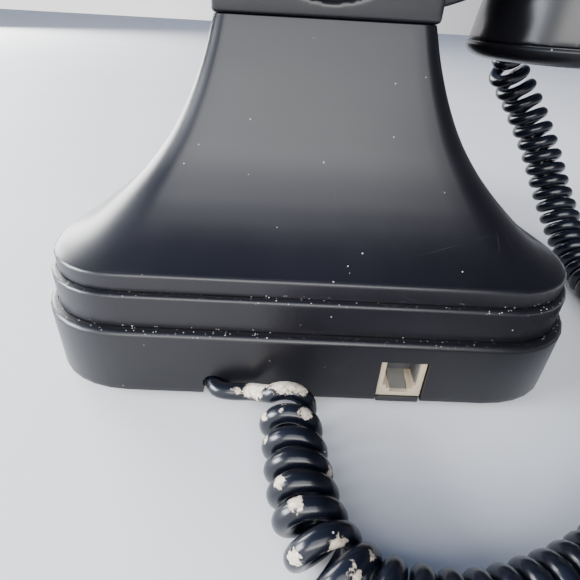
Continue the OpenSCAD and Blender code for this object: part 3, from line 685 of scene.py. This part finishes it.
def make_housing():
    """Steps, flare and neck as one hollow moulding, with a pod for the dial and four cut-outs."""
    _, half, inset, _, _ = FLARE[-1]
    outside = [step_section(*p) for p in step_outline()] + [flare_section(r) for r in smooth_line(FLARE, 6)]
    outside += [flare_section([NECK_H - 0.2, half - 0.15, inset + 0.15, 4.4, 0])]
    outside += [flare_section([NECK_H, half - 0.5, inset + 0.5, 4, 0])]
    inside = [flare_section([NECK_H - WALL, half, inset, 4.5, 0], WALL)]
    inside += [flare_section(row, WALL) for row in FLARE[-2:2:-1]]
    inside += [step_section(*p) for p in ((7.9, 36), (7.9, STEP2_Z - 3), (WALL, STEP2_Z - 3), (WALL, EDGE_Z))]
    bm = bmesh.new()
    skin(bm, inside + outside)
    housing = to_object("housing_shell", bm)

    def cut(name, build, matrix=None):
        """Takes away what build draws."""
        tool = bmesh.new()
        build(tool)
        combine(housing, to_object(name, tool, matrix), "DIFFERENCE")

    cut("cut_dial", lambda bm: lathe(bm, [(0, -30), (POD_BORE, -30), (POD_BORE, 14), (0, 14)], 128), ON_DIAL)
    bm = bmesh.new()
    lathe(bm, [(POD_BORE, -12), (POD_BORE, LEDGE_BOTTOM), (LEDGE_R, LEDGE_BOTTOM), (LEDGE_R, LEDGE_TOP),
               (POD_BORE, LEDGE_TOP), (POD_BORE, 6.8), (39.9, 7.1), (43.3, 7.1), (43.85, 6.85), (POD_R, 6.3),
               (POD_R, -4), (43.8, -7), (43, -9.6), (41.8, -11.4), (40.6, -12)], 128)
    combine(housing, to_object("pod", bm, ON_DIAL), "UNION")
    for y in SWITCHES.values():
        low, high = (side_x(y) - 6, y - 5.2, 11.8), (side_x(y) + 6, y + 5.2, 16.2)
        cut("cut_side", lambda bm, low=low, high=high: brick(bm, low, high, 0.5))
    jack_top = PLATE_TOP + JACK_H + 0.2
    cut("cut_jack", lambda bm: brick(bm, (JACK_X - 6.8, 86, 0), (JACK_X + 6.8, 96, jack_top), 0))
    arch = bend(0, 0, SLOT_R, 0, 180, 16) + [(-SLOT_R, -6), (SLOT_R, -6)]
    cut("cut_slot", lambda bm: slab(bm, arch, -10, 10),
        Matrix.Translation((SLOT_X, BACK_Y - 4, SLOT_Z)) @ Matrix.Rotation(math.pi / 2, 4, "X"))
    shade(housing.data, 32)
    dress(housing, BLACK, "black_plastic", "root", "housing")


def make_base_plate():
    """The floor of the phone, with a tab under the line socket, screw holes and vents."""
    inset = WALL + 0.3
    rim = [(inset + 0.5, FOOT_H), (inset, FOOT_H + 0.5), (inset, PLATE_TOP - 0.3), (inset + 0.3, PLATE_TOP)]
    bm = bmesh.new()
    skin(bm, [step_section(*p) for p in rim])
    plate = to_object("base_plate_moulded", bm)
    bm = bmesh.new()
    brick(bm, (JACK_X - 6.3, 80, FOOT_H), (JACK_X + 6.3, BACK_Y - 0.4, PLATE_TOP), 0.35)
    combine(plate, to_object("tab", bm), "UNION")
    for centre in HOUSING_SCREWS:
        bm = bmesh.new()
        lathe(bm, [(0, 0), (2.7, 0), (2.7, 2.8), (1.31, 2.8), (1.31, 5), (0, 5)], 32, centre)
        combine(plate, to_object("hole", bm), "DIFFERENCE")
    for x in range(-5, 6):
        bm = bmesh.new()
        brick(bm, (x * 5 - 0.9, 42, 0), (x * 5 + 0.9, 70, FOOT_H + 1.1), 0.4)
        combine(plate, to_object("vent", bm), "DIFFERENCE")
    shade(plate.data, 32)
    dress(plate, BASE_BLACK, "base_plastic", "root", "base_plate")


def make_feet():
    """Four round feet, each with a dimple underneath."""
    bm = bmesh.new()
    outline = [(0, FOOT_H), (7.6, FOOT_H), (8, 1.3), (8, 0.5), (7.6, 0.12), (7, 0), (3.2, 0), (2.7, 0.35)]
    outline += [(0, 0.35)]
    for centre in FEET:
        lathe(bm, outline, 64, centre)
    dress(to_object("feet", bm, sharp_deg=40), RUBBER, "rubber", "root", "rubber_feet")


# ---- line socket -----------------------------------------

# Turns an outline drawn in (y, z) so that slab() raises it along X
ALONG_X = Matrix(((0, 0, 1, 0), (1, 0, 0, 0), (0, 1, 0, 0), (0, 0, 0, 1)))


def make_jack():
    """The socket's body with its port, four wires, and painted shade inside the port: a dark grey lining on
    its sides and floor, and a near-black block at its back and strip under its top.
    """
    front, back, top = JACK_FRONT - 0.5, JACK_FRONT - JACK_L, PLATE_TOP + JACK_H
    port, half = PLATE_TOP + 4.2, 5.0

    def block(low, high, edge=0.15):
        """A mesh of one box, whose x is counted from the socket's middle."""
        bm = bmesh.new()
        brick(bm, (JACK_X + low[0], low[1], low[2]), (JACK_X + high[0], high[1], high[2]), edge)
        return bm

    jack = to_object("jack_body", block((-6.6, back, PLATE_TOP), (6.6, front, top), 0.3))
    for low, high in (((-half, front - 13, port), (half, front + 2, top + 2)),
                      ((-2.7, front - 13, port - 2.6), (2.7, front + 2, port + 0.5)),
                      ((-3.9, front - 13, port - 1.2), (3.9, front + 2, port + 0.5))):
        combine(jack, to_object("hollow", block(low, high)), "DIFFERENCE")
    shade(jack.data, 30)
    dress(jack, IVORY, "jack_plastic", "root", "line_jack")
    # Painted shade: a dark grey lining on the port's side walls and sloping floor stands in for the shade
    # deep inside the port.
    bm = bmesh.new()
    for left, right in ((-half, 0.45 - half), (half - 0.45, half)):
        brick(bm, (JACK_X + left, front - 12.9, port + 0.1), (JACK_X + right, front - 1.1, top - 0.8), 0.1)
    ramp = [(front - 1.2, port - 2.5), (front - 1.2, port - 2.2), (front - 8, port + 0.4)]
    slab(bm, ramp + [(front - 8, port - 2.5)], JACK_X - 2.6, JACK_X + 2.6, ALONG_X)
    dress(to_object("jack_port_shade_lining", bm, sharp_deg=30), PORT_SHADE_GREY, "jack_plastic", "root")
    # Painted shade: a near-black block at the back of the port and a strip under its top stand in for the
    # shade there.
    bm = bmesh.new()
    brick(bm, (JACK_X - half, front - 13, port + 0.1), (JACK_X + half, front - 7, top - 0.9), 0.2)
    brick(bm, (JACK_X - half, front - 13, top - 1.3), (JACK_X + half, front - 0.7, top - 0.1), 0.2)
    dress(to_object("jack_port_shade_back", bm, sharp_deg=30), GREY, "grey_plastic", "root")
    bm = bmesh.new()
    for i in range(4):
        x = JACK_X + (i - 1.5) * 1.3
        route = [(x, front - 2.6, top - 1.2), (x, front - 3.4, top - 1.9), (x, front - 5.2, top - 3.6),
                 (x, front - 7.4, top - 5.4)]
        line = smooth_line(route, 6)
        tube(bm, line, [0.22] * len(line), 10, (1, 0, 0))
    dress(to_object("jack_wires", bm), GOLD, "contact_metal", "root", "jack_contacts")


# ---- cradle ----------------------------------------------

# Half of the cradle as seen from behind, and its band as seen from the side, over the neck's top
ARM = [(0, 0), (30.1, 0), (30.1, 2.2), (30.9, 3.2), (32.6, 3.9), (35.4, 4.6), (41.4, 6.7), (46.6, 9.2),
       (49.2, 12.2), (50.2, 16.6), (50.2, 29), (49.2, 31.8), (47, 33.2), (44.6, 32.2), (42.4, 27.6),
       (39.4, 22), (34.6, 18.6), (28, 17.6), (0, 17.6)]
COLLAR = [(NECK_FRONT_Y, 0), (NECK_BACK_Y, 0), (NECK_BACK_Y, 8.6), (45.6, 12.6), (41, 15.8), (35, 17.6),
          (-8, 17.6), (-13, 15.6), (NECK_FRONT_Y, 11)]


def make_cradle():
    """Band, post and arms in one, hollowed for the handle, with a carrying recess and plunger bores."""
    half = rounded(ARM[2:-1], 2.2)
    outline = [(-x, z) for x, z in [ARM[1]] + half][::-1] + [ARM[1]] + half
    outline = [p for p in outline if abs(p[0]) > 1e-6]
    bm = bmesh.new()
    slab(bm, outline, 0, ARM_BACK_Y - ARM_FRONT_Y,
         Matrix.Translation((0, ARM_BACK_Y, NECK_Z)) @ Matrix.Rotation(math.pi / 2, 4, "X"))
    slab(bm, rounded(COLLAR + COLLAR[:1], 1.2)[:-1], -NECK_W / 2, NECK_W / 2,
         Matrix.Translation((0, 0, NECK_Z)) @ ALONG_X)
    cradle = to_object("cradle_moulded", bm)
    melt(cradle, 0.6, 1)
    bm = bmesh.new()
    lathe(bm, [(0, -60), (SADDLE_R, -60), (SADDLE_R, 60), (0, 60)], 96)
    along = Matrix.Translation((0, SADDLE_Y, SADDLE_Z)) @ Matrix.Rotation(math.pi / 2, 4, "Y")
    combine(cradle, to_object("saddle", bm, along), "DIFFERENCE")
    bm = bmesh.new()
    rim = [(RECESS_R - 1.2, 0), (RECESS_R - 0.3, 0.4), (RECESS_R, 1.3)]
    lathe(bm, [(0, 0)] + rim + [(RECESS_R, 8), (0, 8)], 96)
    at = Matrix.Translation((RECESS_X, NECK_BACK_Y - RECESS_DEEP, SADDLE_Z - 1.6))
    combine(cradle, to_object("recess", bm, at @ Matrix.Rotation(-math.pi / 2, 4, "X")), "DIFFERENCE")
    melt(cradle, 0.5, 5, 0.5)
    for x in (-PLUNGER_X, PLUNGER_X):
        bm = bmesh.new()
        lathe(bm, [(0, 90), (PLUNGER_R + 0.12, 90), (PLUNGER_R + 0.12, 140), (0, 140)], 48, (x, SADDLE_Y))
        combine(cradle, to_object("bore", bm), "DIFFERENCE")
    shade(cradle.data, 40)
    dress(cradle, BLACK, "black_plastic", "root", "cradle")


def make_plungers():
    """The two pins that the handle presses down, each with a collar that stops it."""
    outline = [(0, PLUNGER_LOW), (PLUNGER_R, PLUNGER_LOW), (PLUNGER_R, NECK_Z - 10.2), (4.1, NECK_Z - 10.2),
               (4.1, NECK_Z - 9.2), (PLUNGER_R, NECK_Z - 9.2), (PLUNGER_R, PLUNGER_TOP - 1.1)]
    outline += bend(PLUNGER_R - 1.1, PLUNGER_TOP - 1.1, 1.1, 0, 80, 5) + [(0, PLUNGER_TOP)]
    for x, name in ((PLUNGER_X, "plunger_left"), (-PLUNGER_X, "plunger_right")):
        bm = bmesh.new()
        lathe(bm, outline, 40, (x, SADDLE_Y))
        dress(to_object(name + "_pin", bm, sharp_deg=40), HANDSET_BLACK, "black_plastic", name, name)


# ---- dial ------------------------------------------------

def key_place(i):
    """The middle of the key with this index in KEYS, on the dial's ring."""
    a = math.radians(60 - 30 * i)
    return Vector((KEY_RING_R * math.cos(a), KEY_RING_R * math.sin(a), 0))


def make_dial():
    """Bezel, face with a hole for each key, and the number card under its window and ring."""
    outline = [(POD_BORE - 1.5, DIAL_UP), (POD_BORE - 0.3, DIAL_UP), (POD_BORE - 0.3, POD_TOP + 0.1)]
    outline += [(POD_R + 0.2, POD_TOP + 0.1), (POD_R + 0.2, 2.6), (POD_R + 1.6, 2.6), (POD_R + 2, 3.2)]
    outline += [(POD_R + 2, 6.2)] + bend(POD_R - 2.6, 4.8, 4.6, 18, 96, 10)
    outline += [(POD_BORE - 0.6, 8.7), (POD_BORE - 1.3, 8.0)]
    bm = bmesh.new()
    lathe(bm, outline, 160)
    dress(to_object("bezel", bm, ON_DIAL, 35), CHROME, "chrome", "root", "dial_bezel")
    bm = bmesh.new()
    outline = [(0, LEDGE_TOP), (POD_BORE - 0.3, LEDGE_TOP), (POD_BORE - 0.3, 6.2), (POD_BORE - 0.7, DIAL_UP)]
    for r in (36.6, 35.4):
        outline += [(r, DIAL_UP), (r - 0.3, DIAL_UP - 0.3), (r - 0.6, DIAL_UP)]
    outline += [(18.6, DIAL_UP), (18.2, DIAL_UP - 0.35), (17.8, DIAL_UP), (0, DIAL_UP)]
    lathe(bm, outline, 144)
    plate = to_object("dial_face", bm)
    hole = [(KEY_R + 0.4, 2), (KEY_R + 0.4, 6.1), (KEY_R + 0.9, 6.6), (KEY_R + 0.9, 9)]
    for i in range(len(KEYS)):
        bm = bmesh.new()
        lathe(bm, [(0, 2)] + hole + [(0, 9)], 48, key_place(i).xy)
        combine(plate, to_object("hole", bm), "DIFFERENCE")
    plate.data.transform(Matrix.Scale(MM, 4) @ ON_DIAL @ Matrix.Scale(1 / MM, 4))
    shade(plate.data, 32)
    dress(plate, DIAL_BLACK, "dial_face", "root", "dial_plate")
    bm = bmesh.new()
    card = [(0, 0), (13.4, 0), (13.6, 0.1), (13.4, 0.3), (12.4, 0.3), (12.3, 0.22), (11.9, 0.22), (11.8, 0.3)]
    lathe(bm, [(r, DIAL_UP + z) for r, z in card + [(0, 0.3)]], 96)
    dress(to_object("number_card", bm, ON_DIAL, 20), CARD, "card", "root", "dial_card")
    bm = bmesh.new()
    dome = [(13.6 * (1 - k / 10), DIAL_UP + 1 + math.sin(math.pi / 2 * k / 10)) for k in range(11)]
    lathe(bm, [(0, DIAL_UP + 0.4), (13.6, DIAL_UP + 0.4)] + dome, 96)
    dress(to_object("card_window", bm, ON_DIAL, 40), LENS, "lens", "root", "card_lens")
    bm = bmesh.new()
    lathe(bm, [(13.8, DIAL_UP), (17, DIAL_UP), (17, DIAL_UP + 0.7)]
          + bend(15.4, DIAL_UP + 0.7, 1.6, 0, 150, 10) + [(13.8, DIAL_UP + 1.2)], 96)
    dress(to_object("window_ring", bm, ON_DIAL, 35), CHROME, "chrome", "root", "card_ring")


def raised(digit):
    """A mesh of one thin raised digit, centred on the origin."""
    letters = bpy.data.curves.new("digit", "FONT")
    letters.body, letters.size = digit, 5.6
    letters.extrude, letters.offset = 0.12, 0.1
    letters.align_x, letters.align_y = "CENTER", "CENTER"
    holder = bpy.data.objects.new("holder", letters)
    bpy.context.scene.collection.objects.link(holder)
    bpy.context.view_layer.update()
    flat = bpy.data.meshes.new_from_object(holder.evaluated_get(bpy.context.evaluated_depsgraph_get()))
    bpy.data.objects.remove(holder)
    bm = bmesh.new()
    bm.from_mesh(flat)
    return bm


def make_keys():
    """Round dished caps, each with its printed digit or sign."""
    outline = [(0, 2.3), (2, 2.3), (2, 2.7), (KEY_R + 0.9, 2.7), (KEY_R + 0.9, 3.9), (KEY_R, 3.9)]
    outline += [(KEY_R, 7.7)] + bend(KEY_R - 1.1, 7.7, 1.1, 0, 90, 6) + [(3.4, 8.7), (2, 8.52), (0, 8.45)]
    for i, (name, digit) in enumerate(KEYS):
        place = ON_DIAL @ Matrix.Translation(key_place(i))
        bm = bmesh.new()
        lathe(bm, outline, 56)
        dress(to_object(name + "_cap", bm, place, 38), KEY_IVORY, "key_plastic", name, name)
        drop = -0.9 if digit == "*" else 0
        mark = to_object(name + "_mark", raised(digit), place @ Matrix.Translation((0, drop, 8.5)), 20)
        dress(mark, INK, "black_plastic", name)


# ---- side switches ---------------------------------------

def make_sliders():
    """The two switches' knobs, each with four ribs for a fingertip."""
    for name, y in SWITCHES.items():
        x, mid = side_x(y), y - 2.2
        bm = bmesh.new()
        brick(bm, (x - 8.2, mid - 2.2, 12.5), (x - 0.5, mid + 2.2, 15.5), 0.35)
        for k in (-1.5, -0.5, 0.5, 1.5):
            brick(bm, (x - 1, mid + k - 0.28, 12.7), (x + 0.1, mid + k + 0.28, 15.3), 0.14)
        dress(to_object(name + "_knob", bm, sharp_deg=30), SLIDER_GREY, "slider_plastic", name, name)


# ---- handset ---------------------------------------------

# The handle's ends: x, z and radius where it turns down into the cups
BEND_DOWN = [(68, 125.2, 14.8), (75, 121.8, 16.4), (80, 117, 17.6), (82.4, 112, 18)]


def make_handset():
    """Handle and both cups as one moulding, with a pierced cap on each cup."""
    middle = [(x, 128.2 - 0.0004 * x * x, 11.2 + 0.0006 * x * x) for x in range(-60, 61, 10)]
    rows = [(-x, z, r) for x, z, r in BEND_DOWN[::-1]] + middle + BEND_DOWN
    line = smooth_line([(x, SADDLE_Y, z, r) for x, z, r in rows], 4)
    bm = bmesh.new()
    tube(bm, line[:, :3], line[:, 3], 48, (0, 1, 0))
    shoulder = [(14, 121.3), (17.5, 120.6)]
    mouth = shoulder + [(22.5, 117.6), (26.4, 112), (28.2, 105), (30, MOUTH_RIM_Z)]
    ear = shoulder + [(22.5, 118), (26, 113.4), (27, EAR_RIM_Z)]
    for cup, x, rim in ((mouth, -CUP_X, MOUTH_RIM_Z), (ear, EAR_X, EAR_RIM_Z)):
        side = [tuple(p) for p in smooth_line(cup, 6)]
        lathe(bm, [(0, 121.4)] + side + [(0, rim)], 96, (x, SADDLE_Y))
    shell = to_object("handset_moulded", bm)
    melt(shell, 0.7, 7, 0.5)
    dress(shell, HANDSET_BLACK, "black_plastic", "handset", "handset_shell")
    caps = (("mouth_cap", -CUP_X, mouth_cap_outline(), MOUTH_Z, 1.2),
            ("ear_cap", EAR_X, ear_cap_outline(), EAR_Z, 1.1))
    for name, x, outline, low, hole_r in caps:
        bm = bmesh.new()
        lathe(bm, outline, 128, (x, SADDLE_Y))
        cap = to_object(name + "_moulded", bm)
        bm = bmesh.new()
        for ring, count in ((0, 1), (5.2, 6), (10.4, 12)):
            for k in range(count):
                a = 2 * math.pi * k / count
                at = (x + ring * math.cos(a), SADDLE_Y + ring * math.sin(a))
                lathe(bm, [(0, low - 2), (hole_r, low - 2), (hole_r, low + 3.4), (0, low + 3.4)], 20, at)
        combine(cap, to_object("holes", bm), "DIFFERENCE")
        shade(cap.data, 34)
        dress(cap, HANDSET_BLACK, "black_plastic", "handset", name)


def mouth_cap_outline():
    """(radius, height) round the mouthpiece's cap, with a bead that stands out past the cup."""
    low, rim = MOUTH_Z, MOUTH_RIM_Z
    return [(0, low + 2), (18, low + 1.6), (20.6, low + 0.5), (22, low), (25.6, low), (28.4, low + 0.9),
            (29.7, low + 1.9), (30.5, low + 3), (30.8, low + 4), (30.6, rim - 0.25), (30.3, rim), (29.2, rim),
            (29, rim + 0.8), (0, rim + 0.8)]


def ear_cap_outline():
    """(radius, height) round the earpiece's cap."""
    low, rim = EAR_Z, EAR_RIM_Z
    return [(0, low + 1.8), (14, low + 1.4), (19, low + 0.5), (22, low), (25.2, low), (26.8, low + 0.8),
            (27.7, low + 2), (28, low + 3.4), (28, rim - 0.5), (27.6, rim), (26.2, rim), (26, rim + 0.8),
            (0, rim + 0.8)]


def make_boot():
    """Tapered rubber boot with ribs where the cord enters the mouthpiece."""
    way, ribs = BOOT_TO - BOOT_FROM, 5
    length = way.length
    step = (length - 2.4) / ribs
    outline = [(0, -2), (5.2, -2), (5.4, 0)]
    for k in range(ribs):
        r, at = 5.1 - 0.3 * k, 1.2 + k * step
        outline += [(r, at), (r, at + step * 0.5), (r - 0.55, at + step * 0.62), (r - 0.55, at + step * 0.95)]
    outline += [(3.5, length - 0.4), (3.2, length), (2.5, length), (2.5, length - 2), (0, length - 2)]
    bm = bmesh.new()
    lathe(bm, outline, 40)
    turn = way.to_track_quat("Z", "Y").to_matrix().to_4x4()
    boot = to_object("boot", bm, Matrix.Translation(BOOT_FROM) @ turn, 35)
    dress(boot, RUBBER, "rubber", "handset", "handset_boot")


# ---- carried-over CAD pieces -----------------------------

# The finish's slot, its material and the CAD nodes that keep their own shape
INNER = {
    "steel": (STEEL, ["housing_screws", "cradle_screws", "dial_screws", "board_screws", "front_ballast",
                      "rear_ballast", "hook_bracket", "hook_pin", "hook_lever", "hook_spring",
                      "handset_weight", "handset_screws"]),
    "circuit_board": (BOARD, ["main_board", "keypad_board"]),
    "rubber": (RUBBER, ["keypad_mat", "cord_bush"]),
    "grey_plastic": (GREY, ["ringer_speaker", "hook_switch", "tone_switch", "ringer_switch", "receiver",
                            "microphone"]),
    "base_plastic": (BASE_BLACK, ["cord_clamp"]),
}


def dress_inner():
    """Gives the CAD nodes that stay as they are their finishes."""
    for slot, (material, names) in INNER.items():
        for name in names:
            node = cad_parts[name]
            node.data.materials.clear()
            node.data.materials.append(material)


# ---- studio ----------------------------------------------

FLOOR_SIZE = 4000


def make_floor():
    """The pale table that the phone stands on."""
    bm = bmesh.new()
    bmesh.ops.create_grid(bm, x_segments=2, y_segments=2, size=FLOOR_SIZE)
    floor = to_object("floor", bm)
    floor.data.materials.append(FLOOR)


def soft_light(name, at, aim, width, height, watts, colour=(1, 1, 1)):
    """A rectangular lamp. Its place, aim and size are in metres."""
    lamp = bpy.data.lights.new(name, "AREA")
    lamp.shape, lamp.size, lamp.size_y = "RECTANGLE", width, height
    lamp.energy, lamp.color = watts, colour
    thing = bpy.data.objects.new(name, lamp)
    at, aim = Vector(at), Vector(aim)
    thing.location = at
    thing.rotation_euler = (aim - at).to_track_quat("-Z", "Y").to_euler()
    bpy.context.scene.collection.objects.link(thing)


# The room's colour against the Z, and against the X, of the direction looked in
SKY_STRENGTH = 2.0
SKY_UP = [(-0.02, (1, 1, 1)), (0.3, (0.85, 0.87, 0.9)),
          (0.5, (0.28, 0.33, 0.46)), (0.8, (0.11, 0.15, 0.25))]
SKY_SIDE = [(-0.6, (0.12, 0.12, 0.13)), (-0.2, (0.5, 0.5, 0.52)),
            (0.25, (0.95, 0.95, 0.95)), (0.8, (1, 1, 1))]


def make_sky():
    """A soft room, bright low down and on the +X side, dim and bluish overhead."""
    world = bpy.data.worlds.new("room")
    bpy.context.scene.world = world
    world.use_nodes = True
    tree = world.node_tree
    split = tree.nodes.new("ShaderNodeSeparateXYZ")
    tree.links.new(tree.nodes.new("ShaderNodeTexCoord").outputs["Generated"], split.inputs[0])

    def ramp(source, stops):
        """A colour that follows one part of the direction through its stops."""
        node = tree.nodes.new("ShaderNodeMapRange")
        tree.links.new(split.outputs[source], node.inputs["Value"])
        node.inputs["From Min"].default_value, node.inputs["From Max"].default_value = -1, 1
        colours = tree.nodes.new("ShaderNodeValToRGB")
        tree.links.new(node.outputs[0], colours.inputs[0])
        row = colours.color_ramp.elements
        while len(row) < len(stops):
            row.new(0.5)
        for element, (at, colour) in zip(row, stops):
            element.position, element.color = (at + 1) / 2, (*colour, 1)
        return colours.outputs[0]

    height = ramp("Z", SKY_UP)
    side = ramp("X", SKY_SIDE)
    both = tree.nodes.new("ShaderNodeMix")
    both.data_type, both.blend_type = "RGBA", "MULTIPLY"
    both.inputs[0].default_value = 1
    tree.links.new(height, both.inputs[6])
    tree.links.new(side, both.inputs[7])
    tree.links.new(both.outputs[2], tree.nodes["Background"].inputs["Color"])
    tree.nodes["Background"].inputs["Strength"].default_value = SKY_STRENGTH


def make_studio():
    """A pale floor, the room, a window behind the camera and two soft lamps on the +X side."""
    make_floor()
    make_sky()
    soft_light("window", (0.14, 1.32, 0.55), (0, 0.05, 0.07), 1.35, 0.36, 17, (1, 0.99, 0.96))
    soft_light("window_top", (0.12, 1.05, 0.99), (0, 0.05, 0.07), 1.35, 0.7, 13, (0.95, 0.97, 1))
    soft_light("left", (1.25, 0.3, 0.33), (0.15, 0.05, 0.0), 0.8, 0.5, 48, (0.88, 0.93, 1))
    soft_light("far", (1.35, -1.1, 0.5), (0, 0, 0.04), 1.1, 0.8, 56)


make_housing()
make_base_plate()
make_feet()
make_jack()
make_cradle()
make_plungers()
make_dial()
make_keys()
make_sliders()
make_handset()
make_boot()
dress_inner()
make_studio()
